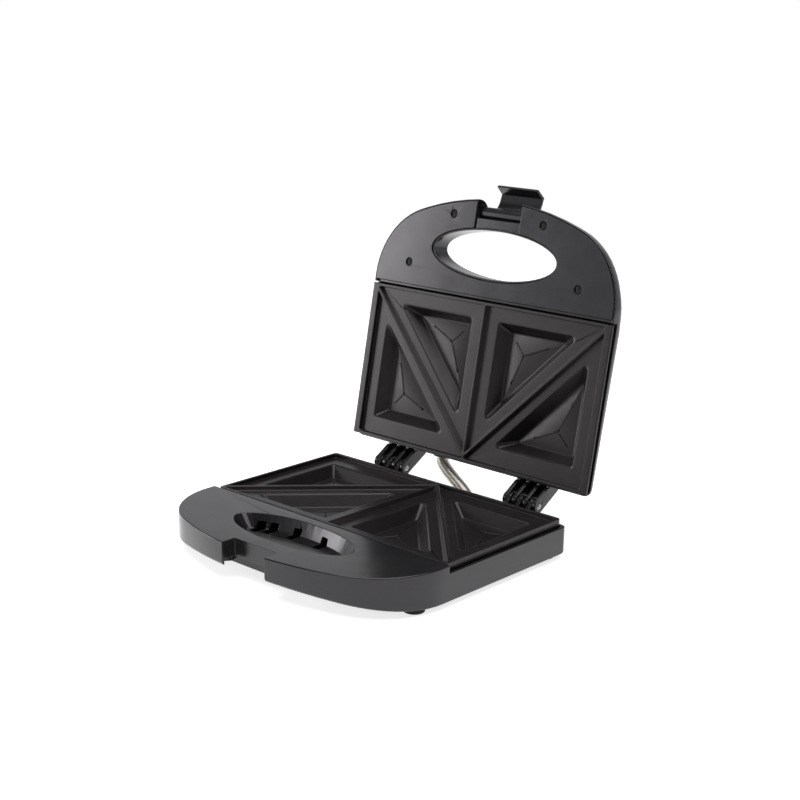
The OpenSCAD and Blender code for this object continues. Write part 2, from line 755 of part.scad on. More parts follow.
// Profile of a cheek of the moving half: a gusset from the back of the lid down to the pin.
module lid_cheek_profile() {
    difference() {
        union() {
            translate([pin_y, pin_z]) circle(r = eye_r, $fn = 64);
            polygon([[lid_back - 1, arm_low], [pin_y - eye_r * 0.75, pin_z - eye_r * 0.6], arm_end, arm_top,
                [lid_back - 1, arm_high + 1], [lid_back - 7, arm_high - 2], [lid_back - 7, skirt_h + fit_gap],
                [lid_back - 1, skirt_h + fit_gap]]);
        }
        translate([pin_y, pin_z]) circle(r = pin_d / 2 + pin_gap, $fn = 64);
    }
}

// Moving half of a hinge: two outer cheeks, two ribs between the fixed ones, and a roof.
module lid_hinge(x) {
    roof_end = arm_top + (arm_end - arm_top) * 0.55;
    for (s = [-1, 1]) {
        bar(x + s * (hinge_w - cheek_t) / 2, cheek_t) lid_cheek_profile();
        bar(x + s * (web_w - cheek_t) / 4, cheek_t) lid_cheek_profile();
    }
    bar(x, inner_w + cheek_t) polygon([[lid_back - 7, arm_high - 4.6], [lid_back - 7, arm_high - 2.2],
        [lid_back - 1, arm_high + 0.6], arm_top - [0, 0.2], roof_end - [0, 0.2], roof_end - [1.4, 2.2],
        arm_top - [0.5, 2.8]]);
}

// ---- lid -----------------------------------------------------------------------------------

function ease(t) = let (s = min(1, max(0, t))) s * s * (3 - 2 * s);

// Height of the top of the lid at a place along Y.
function lid_top(y) = y < 5
    ? grip_h + (lid_h - grip_h) * ease((y + 30) / 35)
    : lid_h + (lid_back_h - lid_h) * (y - 5) / (lid_back - 5);

// Height at which the sides of the lid start to round over.
function lid_side(y) = y < 5
    ? grip_side + (dome_side - grip_side) * ease((y + 25) / 30)
    : dome_side + (rim_drop + 0.3 - dome_side) * (y - 5) / (lid_back - 5);

lid_levels = [0, 8, 16, 25, 33, 42, 54, 67, 78, 90];

// A ring of the lid surface at an angle of its dome, with the skin drawn in by depth.
function lid_ring(angle, depth) =
    let (reach = crown_w * (1 - cos(angle)),
        n = unit([(lid_h - dome_side) * cos(angle), crown_w * sin(angle)]),
        grip_rise = sqrt(1 - pow(1 - min(1, reach / grip_crown), 2)))
    [for (p = outline(lid_hw, lid_back, reach + depth * n.x,
            reach * crown_back + (depth > 0 ? back_wall : 0)))
        let (low = lid_side(p.y),
            rise = grip_rise + (sin(angle) - grip_rise) * ease((p.y + 30) / 35))
        [p.x, p.y, low + (lid_top(p.y) - low) * rise - depth * n.y]];

lid_edge_z = part_gap + 0.5;
ledge_z = part_gap + cover_t + fit_gap / 3;

// The oval grip opening between two heights, or with grow the wall round it.
module grip_oval(grow, low, high) {
    loft([oval_ring(grip_l / 2 + grow, grip_w / 2 + grow, -grip_y, low),
        oval_ring(grip_l / 2 + grow, grip_w / 2 + grow, -grip_y, high)]);
}

cover_screws = [[grip_l * 0.353, -grip_y - 26.5], [grip_l / 2 + 20.5, 14.5 - grip_y]];
cover_boss_r = 4.2;
cover_back = -3.3;
cover_sink = cover_t - screw_head_h - 0.8;
grip_wall = 1.5;
lamp_spots = [-half_w / 8, half_w / 8];
lamp_y = plate_d * 0.3;
lens_w = 9;
lens_l = 14;
latch_y = -handle_reach + 10.5;
lid_notch_d = notch_d + 2.2;
bridge_y = -grip_y - grip_w / 2 + 2;

// What stands in the hollow of the lid: wall of the grip opening, box of the latch notch, cross
// wall, screw bosses and rests for the plate.
module lid_inside() {
    grip_oval(-fit_gap, part_gap + 1, far / 10);
    bar(0, notch_w + 2 * wall) translate([-handle_reach, ledge_z])
        square([handle_reach + bridge_y, far / 10]);
    bar(0, notch_w) translate([latch_y, 1.5]) square([bridge_y - latch_y, far / 10]);
    translate([-lid_hw, deck_back - wall, ledge_z]) cube([2 * lid_hw, wall, far / 10]);
    both_sides() for (p = cover_screws)
        translate([p.x, p.y, ledge_z]) cylinder(r = cover_boss_r, h = far / 10, $fn = 40);
    both_sides() for (y = [12, plate_d / 2, plate_d - 14])
        translate([half_w - rim_w, y - 1, skirt_h]) cube([10, 2, far / 10]);
}

// Plan of the handle cover, drawn out by grow.
module cover_plan(grow = 0) {
    difference() {
        intersection() {
            polygon(outline(lid_hw, lid_back, cover_edge + fit_gap - grow, cover_edge + fit_gap - grow));
            translate([-far / 2, cover_back + grow - far]) square([far, far]);
        }
        translate([-notch_w / 2 - 0.5 + grow, -far]) square([notch_w + 1 - 2 * grow, far - grip_y]);
    }
}

// Notch for the latch: wide below the pin, with a cradle behind its barrel and a lintel above.
module latch_notch() {
    bar(0, notch_w) {
        translate([-handle_reach - 5, -5]) square([5 + lid_notch_d, 5 + latch_z]);
        translate([-handle_reach - 5, -5]) square([latch_y + 2.8 + handle_reach + 5, far / 10]);
        translate([latch_y, latch_z]) circle(r = barrel_r + 0.5, $fn = 64);
    }
}

// Domed casing of the lid with its grip, latch notch, bosses and the moving half of the hinges.
// Open below.
module lid_shell() {
    color(black) at_plates() swung_lid() difference() {
        union() {
            difference() {
                outline_loft(concat([flat_ring(lid_hw, lid_back, 0, 0, lid_edge_z)],
                    [for (a = lid_levels) lid_ring(a, 0)]));
                difference() {
                    outline_loft(concat([flat_ring(lid_hw, lid_back, wall, back_wall, -5)],
                        [for (a = lid_levels) lid_ring(a, wall)]));
                    lid_inside();
                }
            }
            translate([conduit_lid_x, lid_back + 0.8, conduit_lid_z]) rotate([90, 0, 0])
                cylinder(r = conduit_d / 2 + fit_gap + 1.6, h = 9, $fn = 48);
            lid_hinge(-hinge_x);
            lid_hinge(hinge_x);
        }
        translate([-lid_hw - 1, deck_back, -1])
            cube([2 * lid_hw + 2, lid_back + 1 - deck_back, rim_drop + 1]);
        translate([-half_w - fit_gap, deck_back, -1])
            cube([plate_w + 2 * fit_gap, plate_d + fit_gap - deck_back, skirt_h + 1]);
        difference() {
            translate([0, 0, -1]) linear_extrude(ledge_z + 1) cover_plan(fit_gap);
            grip_oval(-fit_gap, part_gap + 1, far / 10);
        }
        grip_oval(-fit_gap - grip_wall, -1, far / 10);
        latch_notch();
        rod(0, latch_y, latch_z, latch_pin_d / 2, notch_w + 2 * wall + e);
        both_sides() for (p = cover_screws)
            translate([p.x, p.y, 0]) cylinder(d = boss_screw_d, h = 11, $fn = 32);
        for (x = lamp_spots)
            translate([x - lens_w / 2, lamp_y - lens_l / 2, lid_h / 2 + 3])
                cube([lens_w, lens_l, far / 10]);
        translate([conduit_lid_x, lid_back + 2, conduit_lid_z]) rotate([90, 0, 0])
            cylinder(r = conduit_d / 2 + fit_gap, h = 20, $fn = 48);
    }
}

// Flat cover of the handle, inside the edge of the lid casing, open at the front for the latch.
module handle_cover() {
    color(black) at_plates() swung_lid() difference() {
        translate([0, 0, part_gap]) linear_extrude(cover_t) cover_plan();
        grip_oval(0, -1, far / 10);
        both_sides() for (p = cover_screws)
            translate([p.x, p.y, part_gap]) {
                translate([0, 0, -1])
                    cylinder(r = screw_head_r + 0.5, h = 1 + cover_sink + screw_head_h, $fn = 32);
                cylinder(r = boss_screw_d / 2 + 0.3, h = 6, $fn = 32);
            }
    }
}

module handle_cover_screws() {
    color("#6a6a6a") at_plates() swung_lid() both_sides() for (p = cover_screws)
        translate([p.x, p.y, part_gap + cover_sink]) {
            cylinder(r = screw_head_r, h = screw_head_h, $fn = 32);
            cylinder(r = boss_screw_d / 2 - pin_gap, h = 9, $fn = 32);
        }
}

module upper_plate() {
    color(coat) at_plates() swung_lid() mirror([0, 0, 1]) cooking_plate(upper_lip);
}

module upper_element() {
    color("#8c8c88") at_plates() swung_lid() mirror([0, 0, 1]) element(leg_lid);
}

module upper_clamps() {
    color(steel) at_plates() swung_lid() mirror([0, 0, 1]) clamps(leg_lid);
}

module upper_reflector() {
    at_plates() swung_lid() mirror([0, 0, 1]) reflector(sheet_inset_lid, thermostat_d / 2 + 1);
}

module upper_plate_screws() {
    at_plates() swung_lid() mirror([0, 0, 1]) plate_screws();
}

thermostat_y = plate_d * 5 / 12;

// Bimetal thermostat on the back of the upper plate, with two blade terminals.
module thermostat() {
    color("#3a2a20") at_plates() swung_lid() translate([0, thermostat_y, under_z + fit_gap / 3]) {
        cylinder(d = thermostat_d, h = 5, $fn = 48);
        translate([0, 0, 5 - e]) cylinder(d = thermostat_d - 3, h = 3, $fn = 48);
        for (s = [-1, 1]) translate([-3, s * 4 - 0.4, 8 - 2 * e]) cube([6, 0.8, 3]);
    }
}

// Window over a lamp, flush with the top of the lid.
module lens(x) {
    top = lid_top(lamp_y);
    translate([x - lens_w / 2 + fit_gap, lamp_y - lens_l / 2 + fit_gap, top - wall - 0.4])
        cube([lens_w - 2 * fit_gap, lens_l - 2 * fit_gap, wall + 0.6]);
}

module power_lens() {
    color("#b3261e") at_plates() swung_lid() lens(lamp_spots[0]);
}

module ready_lens() {
    color("#2e8b3a") at_plates() swung_lid() lens(lamp_spots[1]);
}

// ---- latch ---------------------------------------------------------------------------------

latch_w = notch_w - 2 * latch_play;
knee = [latch_y + 6, latch_z - 12];
knee_r = 16;

// Side profile of the hooked latch: a barrel, a curved plate and a lip that reaches under the base.
module latch_profile() {
    lip_top = catch_z - 0.6;
    outer = arc(knee, knee_r, 125, 205, 12);
    inner = arc(knee, knee_r - latch_t, 205, 125, 12);
    tip = outer[len(outer) - 1];
    root = inner[0];
    slope = tan(25);
    foot_y = tip.x + (tip.y - lip_top + latch_t) * slope;
    polygon(concat(outer, [[foot_y, lip_top - latch_t], [latch_y + 4.2, lip_top - latch_t + 0.6],
        [latch_y + 4.2, lip_top], [root.x + (root.y - lip_top) * slope, lip_top]], inner));
    translate([latch_y, latch_z]) circle(r = barrel_r, $fn = 48);
}

module swung_latch() {
    translate([0, latch_y, latch_z]) rotate([-latch_angle, 0, 0]) translate([0, -latch_y, -latch_z])
        children();
}

module latch() {
    color(black) at_plates() swung_lid() swung_latch() difference() {
        bar(0, latch_w) latch_profile();
        rod(0, latch_y, latch_z, latch_pin_d / 2, latch_w + 2);
    }
}

module latch_pin() {
    color(steel) at_plates() swung_lid()
        rod(0, latch_y, latch_z, latch_pin_d / 2 - pin_gap, notch_w + 2 * wall - 0.4);
}

// ---- lamps ---------------------------------------------------------------------------------

bulb_r = 1.6;
bulb_z = lid_top(lamp_y) - wall - 0.6 - bulb_r - 0.4;

// Neon bulbs below the windows.
module neon_lamps() {
    color("#e8c9a8") at_plates() swung_lid() for (x = lamp_spots)
        translate([x, lamp_y - 5, bulb_z]) rotate([-90, 0, 0]) cylinder(r = bulb_r, h = 10, $fn = 24);
}

// Bracket on the reflector that carries both bulbs in cradles.
module lamp_holder() {
    low = sheet_z + sheet_t;
    color("#d8d4c8") at_plates() swung_lid() difference() {
        union() {
            translate([lamp_spots[0] - 6, lamp_y - 3, low]) cube([half_w / 4 + 12, 6, 1]);
            for (x = lamp_spots)
                translate([x - 3, lamp_y - 3, low]) cube([6, 6, bulb_z - low]);
        }
        for (x = lamp_spots)
            translate([x, lamp_y - 5, bulb_z]) rotate([-90, 0, 0])
                cylinder(r = bulb_r + pin_gap, h = 10, $fn = 24);
    }
}

// ---- wire conduit --------------------------------------------------------------------------

function swing(p) =
    let (y = p.y - pin_y, z = p.z - pin_z, c = cos(open_angle), s = -sin(open_angle))
    [p.x, pin_y + c * y - s * z, pin_z + s * y + c * z];

lid_face = swing([conduit_lid_x, lid_back + 0.8, conduit_lid_z]);
lid_end = swing([conduit_lid_x, lid_back - wall, conduit_lid_z]);
lid_out = unit(lid_face - lid_end);
base_end = [conduit_base_x, base_back - wall, -conduit_base_z];
base_face = [conduit_base_x, base_back, -conduit_base_z];
ctrl = [base_face, base_face + [0, 26, 0], lid_face + lid_out * 16, lid_face];

// The bend of the conduit between both casings, and a table of the length along it.
function bend(t) = pow(1 - t, 3) * ctrl[0] + 3 * pow(1 - t, 2) * t * ctrl[1]
    + 3 * (1 - t) * t * t * ctrl[2] + t * t * t * ctrl[3];
bend_steps = 50;
bend_table = [for (i = 0, s = 0; i <= bend_steps;
    s = s + norm(bend((i + 1) / bend_steps) - bend(i / bend_steps)), i = i + 1) [s, i / bend_steps]];
bend_l = bend_table[bend_steps][0];
lid_l = norm(lid_face - lid_end);
conduit_l = wall + bend_l + lid_l;

// Middle line of the conduit at a share of its length, straight where it leaves the casings.
function route(t) = let (s = t * conduit_l - wall)
    s < 0 ? base_face + [0, s, 0]
    : s > bend_l ? lid_face - lid_out * (s - bend_l)
    : bend(lookup(s, bend_table));
function heading(t) = unit(route(min(1, t + 0.004)) - route(max(0, t - 0.004)));

function across(t) = unit(cross(heading(t), [1, 0.2, 0.1]));

// A point of the helix at turn u of the conduit.
helix_r = (conduit_d - conduit_wire) / 2;
function helix(u) =
    let (t = u / conduit_turns, a = across(t), b = cross(heading(t), a))
    route(t) + helix_r * (cos(360 * u) * a + sin(360 * u) * b);

ring_steps = 8;
helix_line = [for (i = [0:ring_steps * conduit_turns]) helix(i / ring_steps)];
wire_line = concat([helix_line[0] - heading(0) * conduit_wire], helix_line,
    [helix_line[len(helix_line) - 1] + heading(1) * conduit_wire]);
helix_gap = min([for (i = [0:len(helix_line) - 1 - ring_steps]) for (j = [ring_steps - 2:ring_steps + 1])
    if (i + j < len(helix_line)) norm(helix_line[i] - helix_line[i + j])]) - conduit_wire;
echo(least_gap_between_curls = helix_gap);

// A tube of six sides along a line of points.
module tube(line, r, sides = 6) {
    n = len(line);
    points = [for (i = [0:n - 1]) let (d = unit(line[min(i + 1, n - 1)] - line[max(i - 1, 0)]),
            out = line[i] - route(min(1, max(0, (i - 1) / (n - 3)))),
            a = unit(out - (out * d) * d), b = cross(d, a))
        for (k = [0:sides - 1]) line[i] + r * (cos(360 * k / sides) * a + sin(360 * k / sides) * b)];
    faces = [for (i = [0:n - 2]) for (k = [0:sides - 1])
        let (p = i * sides + k, q = i * sides + (k + 1) % sides)
        each [[p, p + sides, q + sides], [p, q + sides, q]]];
    polyhedron(points, concat([[for (k = [0:sides - 1]) k]], faces,
        [[for (k = [sides - 1:-1:0]) (n - 1) * sides + k]]), convexity = 20);
}

module conduit_spring() {
    color("#c9c6bc") at_plates() tube(wire_line, conduit_wire / 2);
}

// Insulated wires inside the conduit.
module conduit_wires() {
    steps = 24;
    color("#e9e4d6") at_plates() for (s = [-1, 0, 1])
        tube_plain([for (i = [0:steps]) let (t = i / steps) route(t) + across(t) * s * 2.1], 0.9);
}

module tube_plain(line, r, sides = 8) {
    n = len(line);
    points = [for (i = [0:n - 1]) let (t = i / (n - 1), a = across(t), b = cross(heading(t), a))
        for (k = [0:sides - 1]) line[i] + r * (cos(360 * k / sides) * a + sin(360 * k / sides) * b)];
    faces = [for (i = [0:n - 2]) for (k = [0:sides - 1])
        let (p = i * sides + k, q = i * sides + (k + 1) % sides)
        [p, p + sides, q + sides, q]];
    polyhedron(points, concat([[for (k = [0:sides - 1]) k]], faces,
        [[for (k = [sides - 1:-1:0]) (n - 1) * sides + k]]), convexity = 6);
}

base_shell();
bottom_cover();
bottom_screws();
feet();
lower_plate();
lower_element();
lower_clamps();
lower_reflector();
lower_plate_screws();
thermal_fuse();
fuse_clip();
terminal_block();
terminal_inserts();
cord_inlet();
hinge_pins();
conduit_spring();
conduit_wires();
lid_shell();
handle_cover();
handle_cover_screws();
upper_plate();
upper_element();
upper_clamps();
upper_reflector();
upper_plate_screws();
thermostat();
power_lens();
ready_lens();
neon_lamps();
lamp_holder();
latch_pin();
latch();
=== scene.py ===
import json
import math
import bpy
import bmesh
from mathutils import Matrix, Vector

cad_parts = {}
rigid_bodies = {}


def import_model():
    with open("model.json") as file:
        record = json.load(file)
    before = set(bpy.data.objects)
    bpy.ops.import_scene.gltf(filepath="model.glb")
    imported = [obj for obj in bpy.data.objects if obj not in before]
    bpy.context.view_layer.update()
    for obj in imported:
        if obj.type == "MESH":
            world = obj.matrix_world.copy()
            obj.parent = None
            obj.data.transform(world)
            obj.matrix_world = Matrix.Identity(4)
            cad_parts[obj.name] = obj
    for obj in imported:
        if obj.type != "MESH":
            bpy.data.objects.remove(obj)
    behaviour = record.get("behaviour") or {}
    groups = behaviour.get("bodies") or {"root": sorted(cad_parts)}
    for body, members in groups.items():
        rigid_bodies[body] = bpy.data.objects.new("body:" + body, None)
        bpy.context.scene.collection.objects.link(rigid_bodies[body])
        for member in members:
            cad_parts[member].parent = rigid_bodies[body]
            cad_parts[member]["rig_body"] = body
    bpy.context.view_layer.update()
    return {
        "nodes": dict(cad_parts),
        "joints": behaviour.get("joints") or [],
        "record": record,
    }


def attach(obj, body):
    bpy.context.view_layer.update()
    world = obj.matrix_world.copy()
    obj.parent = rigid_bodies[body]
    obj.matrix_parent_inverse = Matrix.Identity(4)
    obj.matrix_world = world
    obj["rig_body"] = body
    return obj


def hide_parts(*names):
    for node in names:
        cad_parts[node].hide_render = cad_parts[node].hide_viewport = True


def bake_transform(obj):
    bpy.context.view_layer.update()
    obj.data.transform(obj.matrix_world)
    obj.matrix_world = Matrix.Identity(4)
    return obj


# An open sandwich toaster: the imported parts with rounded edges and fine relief, a conduit of wound
# wire between base and lid, node materials, a plain studio and the photograph's view.

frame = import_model()
NODES = frame["nodes"]
SLOT_OF = {row["node"]: row["material_slot"] for row in frame["record"]["subparts"]}
MM = 0.001


# ---- node trees --------------------------------------------------------------------------------

class Tree:
    """A node tree, with short ways to add its nodes and to feed their sockets."""

    def __init__(self, owner):
        owner.use_nodes = True
        self.tree = owner.node_tree
        self.tree.nodes.clear()

    def add(self, kind, **settings):
        """A new node, with settings such as its operation."""
        node = self.tree.nodes.new("ShaderNode" + kind)
        for name, value in settings.items():
            setattr(node, name, value)
        return node

    def feed(self, socket, value):
        """Links a socket to an output, or sets it to a number, a vector or a colour."""
        if hasattr(value, "is_linked"):
            self.tree.links.new(value, socket)
        elif socket.type == "RGBA":
            socket.default_value = (*value, 1)
        else:
            socket.default_value = value

    def math(self, operation, a, b):
        """The result of one operation on two numbers or outputs."""
        node = self.add("Math", operation=operation)
        self.feed(node.inputs[0], a)
        self.feed(node.inputs[1], b)
        return node.outputs[0]

    def ramp(self, factor, low, high):
        """A ramp between two stops, each a place and a grey or a colour."""
        node = self.add("ValToRGB")
        for element, (place, value) in zip(node.color_ramp.elements, (low, high)):
            element.position = place
            element.color = (*value, 1) if hasattr(value, "__len__") else (value, value, value, 1)
        self.feed(node.inputs["Fac"], factor)
        return node.outputs["Color"]

    def seen_by(self, *rays):
        """1 for the kinds of rays that are named, and 0 for all others."""
        path = self.add("LightPath")
        seen = path.outputs[rays[0]]
        for ray in rays[1:]:
            seen = self.math("MAXIMUM", seen, path.outputs[ray])
        return seen


class Surface(Tree):
    """A material with one shader. Scales are in waves per metre, and bump distances in metres."""

    WEAR_FROM, WEAR_TO = 0.56, 0.68

    def __init__(self, name):
        self.material = bpy.data.materials.new(name)
        super().__init__(self.material)
        self.output = self.add("OutputMaterial").inputs["Surface"]
        self.shader = self.add("BsdfPrincipled")
        self.feed(self.output, self.shader.outputs[0])
        self.place = self.add("TexCoord").outputs["Object"]

    def give(self, name, value):
        """Feeds one socket of the shader."""
        self.feed(self.shader.inputs[name], value)

    def noise(self, scale, detail, rough=0.5, stretch=None):
        """A noise, from 0 to 1. Stretch scales it along each axis, so a low number draws it out."""
        place = self.place
        if stretch:
            mapping = self.add("Mapping")
            self.feed(mapping.inputs["Vector"], place)
            self.feed(mapping.inputs["Scale"], stretch)
            place = mapping.outputs[0]
        node = self.add("TexNoise")
        for name, value in (("Vector", place), ("Scale", scale), ("Detail", detail), ("Roughness", rough)):
            self.feed(node.inputs[name], value)
        return node.outputs["Fac"]

    def mix(self, factor, a, b):
        """A blend of two colours, from a at 0 to b at 1."""
        node = self.add("Mix", data_type="RGBA")
        # The node's colour sockets come after those for numbers and vectors
        for socket, value in ((node.inputs[0], factor), (node.inputs[6], a), (node.inputs[7], b)):
            self.feed(socket, value)
        return node.outputs[2]

    def worn_edges(self, patches):
        """How worn a point is: only sharp edges are, and only in patches."""
        sharpness = self.add("NewGeometry").outputs["Pointiness"]
        return self.math("MULTIPLY", self.ramp(sharpness, (self.WEAR_FROM, 0), (self.WEAR_TO, 1)), patches)

    def bump(self, height, distance, strength, below=None):
        """A bump, on top of another where one is given."""
        node = self.add("Bump")
        for name, value in (("Height", height), ("Distance", distance), ("Strength", strength)):
            self.feed(node.inputs[name], value)
        if below:
            self.feed(node.inputs["Normal"], below)
        return node.outputs[0]


# ---- materials ---------------------------------------------------------------------------------

def plastic(name, base, worn, rough, grain, waves, gloss):
    """Moulded plastic: cloudy tone, a fine grain, soft flow waves and paler worn edges."""
    surface = Surface(name)
    clouds = surface.ramp(surface.noise(scale=26, detail=4), (0.3, 0.82), (0.7, 1.16))
    tone = surface.add("VectorMath", operation="MULTIPLY")
    surface.feed(tone.inputs[0], base)
    surface.feed(tone.inputs[1], clouds)
    wear = surface.worn_edges(surface.ramp(surface.noise(scale=90, detail=3), (0.35, 0.1), (0.7, 0.7)))
    surface.give("Base Color", surface.mix(wear, tone.outputs[0], worn))
    smears = surface.noise(scale=60, detail=5, rough=0.6)
    surface.give("Roughness", surface.ramp(smears, (0.25, rough - 0.045), (0.75, rough + 0.05)))
    flow = surface.bump(surface.noise(scale=14, detail=2), distance=0.0012, strength=waves)
    specks = surface.noise(scale=2600, detail=2)
    surface.give("Normal", surface.bump(specks, distance=0.00006, strength=grain, below=flow))
    surface.give("Specular IOR Level", gloss)
    surface.give("Specular Tint", (1, 0.96, 1))
    return surface.material


def coating(name):
    """Dark non-stick coating on cast aluminium: satin, faintly mottled, with an orange-peel surface."""
    surface = Surface(name)
    mottle = surface.ramp(surface.noise(scale=70, detail=6, rough=0.6), (0.25, (0.009, 0.0078, 0.0084)),
                          (0.75, (0.015, 0.013, 0.0138)))
    wear = surface.worn_edges(surface.ramp(surface.noise(scale=160, detail=4), (0.4, 0.0), (0.75, 0.5)))
    surface.give("Base Color", surface.mix(wear, mottle, (0.045, 0.042, 0.042)))
    smears = surface.noise(scale=220, detail=5, rough=0.65)
    surface.give("Roughness", surface.ramp(smears, (0.25, 0.27), (0.75, 0.37)))
    peel = surface.bump(surface.noise(scale=420, detail=2), distance=0.00012, strength=0.2)
    specks = surface.noise(scale=3200, detail=2)
    surface.give("Normal", surface.bump(specks, distance=0.00005, strength=0.15, below=peel))
    surface.give("Specular IOR Level", 0.37)
    surface.give("Specular Tint", (1, 0.92, 0.97))
    return surface.material


def metal(name, color, rough, streak=(1, 1, 1), stain=0.75):
    """Metal with drawn or rolled streaks, slight stains and a fine scratch bump."""
    surface = Surface(name)
    lines = surface.noise(scale=900, detail=3, rough=0.6, stretch=streak)
    stains = surface.noise(scale=120, detail=4)
    stained = [c * stain for c in color]
    surface.give("Base Color", surface.ramp(stains, (0.3, stained), (0.7, color)))
    surface.give("Roughness", surface.ramp(lines, (0.2, rough - 0.06), (0.8, rough + 0.06)))
    surface.give("Normal", surface.bump(lines, distance=0.00003, strength=0.5))
    surface.give("Metallic", 1.0)
    return surface.material


def matte(name, color, rough, scale, depth, spread=0.2):
    """Rubber, ceramic or woven sleeve: mottled, rough, with a coarse bump."""
    surface = Surface(name)
    dark = [c * (1 - spread) for c in color]
    pale = [c * (1 + spread) for c in color]
    mottle = surface.noise(scale=scale, detail=5, rough=0.6)
    smears = surface.noise(scale=scale * 2, detail=3)
    grain = surface.noise(scale=scale * 5, detail=3)
    surface.give("Base Color", surface.ramp(mottle, (0.25, dark), (0.75, pale)))
    surface.give("Roughness", surface.ramp(smears, (0.3, rough - 0.08), (0.7, rough + 0.08)))
    surface.give("Normal", surface.bump(grain, distance=depth, strength=0.5))
    return surface.material


def lens(name, color):
    """Tinted translucent window with fine prisms."""
    surface = Surface(name)
    shade = [c * 0.8 for c in color]
    surface.give("Base Color", surface.ramp(surface.noise(scale=200, detail=3), (0.3, shade), (0.7, color)))
    surface.give("Roughness", surface.ramp(surface.noise(scale=400, detail=2), (0.3, 0.12), (0.7, 0.2)))
    prisms = surface.noise(scale=700, detail=1, stretch=(1, 0.05, 0.05))
    surface.give("Normal", surface.bump(prisms, distance=0.0002, strength=0.5))
    surface.give("Transmission Weight", 0.35)
    surface.give("IOR", 1.49)
    return surface.material


MATERIAL = {
    "casing": plastic("casing_plastic", base=(0.0125, 0.012, 0.013), worn=(0.045, 0.044, 0.046),
                      rough=0.2, grain=0.08, waves=0.04, gloss=0.5),
    "casing_matt": plastic("casing_matt", base=(0.02, 0.0195, 0.0205), worn=(0.05, 0.049, 0.05),
                           rough=0.5, grain=0.6, waves=0.08, gloss=0.4),
    "foot_rubber": matte("foot_rubber", (0.018, 0.018, 0.018), 0.8, scale=500, depth=0.00012),
    "nonstick": coating("nonstick_coating"),
    "element_sheath": metal("element_sheath", (0.3, 0.28, 0.26), 0.42, streak=(1, 0.2, 1), stain=0.55),
    "spring_steel": metal("spring_steel", (0.55, 0.55, 0.54), 0.34, streak=(0.1, 1, 1)),
    "bright_sheet": metal("bright_sheet", (0.78, 0.78, 0.78), 0.25, streak=(0.05, 1, 1)),
    "steel": metal("zinc_steel", (0.38, 0.38, 0.37), 0.36, streak=(0.05, 1, 1)),
    "screw_steel": metal("black_screw", (0.035, 0.034, 0.035), 0.42),
    "fuse_body": metal("fuse_body", (0.7, 0.68, 0.62), 0.3, streak=(1, 0.1, 1)),
    "block_plastic": matte("steatite", (0.72, 0.69, 0.61), 0.6, scale=250, depth=0.00008, spread=0.06),
    "brass": metal("brass", (0.78, 0.6, 0.3), 0.25, streak=(1, 0.1, 1)),
    "conduit_steel": metal("conduit_wire", (0.74, 0.71, 0.65), 0.3, stain=0.8),
    "wire_sleeve": matte("wire_sleeve", (0.66, 0.62, 0.53), 0.85, scale=900, depth=0.0001, spread=0.12),
    "phenolic": matte("phenolic", (0.1, 0.05, 0.03), 0.5, scale=200, depth=0.00005),
    "lens_red": lens("lens_red", (0.55, 0.03, 0.02)),
    "lens_green": lens("lens_green", (0.05, 0.4, 0.09)),
    "neon_glass": lens("neon_glass", (0.85, 0.7, 0.55)),
}

for node, obj in NODES.items():
    obj.data.materials.clear()
    obj.data.materials.append(MATERIAL[SLOT_OF[node]])


# ---- places, in millimetres --------------------------------------------------------------------
# Plate coordinates have y = 0 at the front edge of the plates and z = 0 where the two plates meet.
# LID takes a place in the shut lid, in plate coordinates, to where it is when the lid is open.
# UPPER_PLATE does so too, with z turned round, so that both plates share one set of sizes.

LID_HINGE = next(joint for joint in frame["joints"] if joint["name"] == "lid_hinge")
OPEN_ANGLE = math.radians(LID_HINGE["range_deg"][1])
HINGE = Matrix.Translation(Vector(LID_HINGE["pos_m"]) / MM)
LOWER_PLATE = Matrix.Translation((0, -46, 28.5))
LID = HINGE @ Matrix.Rotation(-OPEN_ANGLE, 4, "X") @ HINGE.inverted() @ LOWER_PLATE
UPPER_PLATE = LID @ Matrix.Diagonal((1, 1, -1, 1))


# ---- new objects and cuts ----------------------------------------------------------------------

def add_object(name, mesh, slot):
    """A new object with the material of one slot."""
    obj = bpy.data.objects.new(name, mesh)
    bpy.context.scene.collection.objects.link(obj)
    mesh.materials.clear()
    mesh.materials.append(MATERIAL[slot])
    return obj


def mesh_of(name, bm):
    """Makes a mesh of bm, and frees it."""
    mesh = bpy.data.meshes.new(name)
    bm.to_mesh(mesh)
    bm.free()
    return mesh


def in_metres(bm):
    """Turns a mesh made in millimetres into metres."""
    bmesh.ops.scale(bm, verts=bm.verts, vec=(MM, MM, MM))


def cut(obj, bm):
    """Takes the solids of bm, in millimetres, out of an object's mesh, ahead of its modifiers."""
    in_metres(bm)
    cutter = bpy.data.objects.new("cutter", mesh_of("cutter", bm))
    bpy.context.scene.collection.objects.link(cutter)
    for modifier in obj.modifiers:
        modifier.show_viewport = False
    boolean = obj.modifiers.new("cut", "BOOLEAN")
    boolean.operation = "DIFFERENCE"
    boolean.solver = "EXACT"
    boolean.use_self = True
    boolean.object = cutter
    evaluated = obj.evaluated_get(bpy.context.evaluated_depsgraph_get())
    result = bpy.data.meshes.new_from_object(evaluated)
    obj.modifiers.remove(boolean)
    obj.data = result
    bpy.data.objects.remove(cutter)
    for modifier in obj.modifiers:
        modifier.show_viewport = True


def add_block(bm, low, high, place=Matrix.Identity(4)):
    """A box between two corners, moved by a matrix."""
    middle = Matrix.Translation([(a + b) / 2 for a, b in zip(low, high)])
    size = Matrix.Diagonal([b - a for a, b in zip(low, high)] + [1])
    bmesh.ops.create_cube(bm, size=1, matrix=place @ middle @ size)


def circle(radius, sides):
    """Points round a circle, as pairs."""
    turns = [2 * math.pi * k / sides for k in range(sides)]
    return [(radius * math.cos(t), radius * math.sin(t)) for t in turns]


